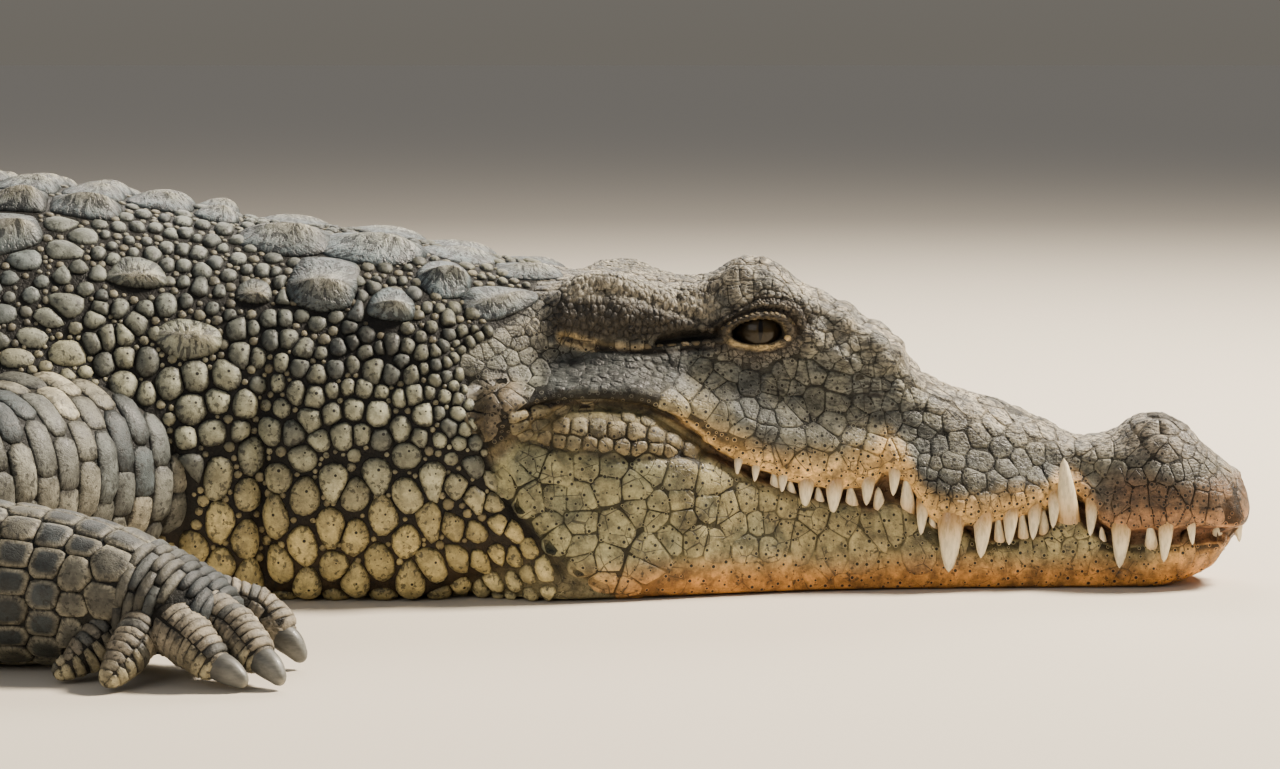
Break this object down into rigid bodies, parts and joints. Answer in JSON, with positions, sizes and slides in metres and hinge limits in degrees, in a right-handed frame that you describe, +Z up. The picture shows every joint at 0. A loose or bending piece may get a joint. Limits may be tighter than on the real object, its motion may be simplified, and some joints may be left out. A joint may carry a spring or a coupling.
{
  "type": "crocodile",
  "caption": "Life-size Nile crocodile at rest on its belly, chin on the floor, mouth closed with the teeth showing, head turned a little right and tail swung left.",
  "frame": {"origin": "centre of the flat of the belly on the floor, under the middle of the trunk", "axes": "+X towards the snout along the trunk, +Y to the animal's left, +Z up"},
  "size_m": [3.4479, 1.2867, 0.328],
  "materials": {
    "hide": "scaled, satin",
    "pale_hide": "scaled, satin",
    "eye": "wet gloss",
    "claw": "horn, satin"
  },
  "bodies": {
    "root": {"head": "hide", "lower_jaw": "pale_hide", "eye_left": "eye", "eye_right": "eye", "ear_left": "hide", "ear_right": "hide", "neck": "hide", "trunk": "hide", "tail_base": "hide", "tail_middle": "hide", "tail_tip": "hide", "upper_arm_left": "hide", "forearm_left": "hide", "forefoot_left": "hide", "upper_arm_right": "hide", "forearm_right": "hide", "forefoot_right": "hide", "thigh_left": "hide", "shank_left": "hide", "hindfoot_left": "hide", "thigh_right": "hide", "shank_right": "hide", "hindfoot_right": "hide", "claw_fore_left_1": "claw", "claw_fore_left_2": "claw", "claw_fore_left_3": "claw", "claw_fore_right_1": "claw", "claw_fore_right_2": "claw", "claw_fore_right_3": "claw", "claw_hind_left_1": "claw", "claw_hind_left_2": "claw", "claw_hind_left_3": "claw", "claw_hind_right_1": "claw", "claw_hind_right_2": "claw", "claw_hind_right_3": "claw"}
  },
  "joints": []
}
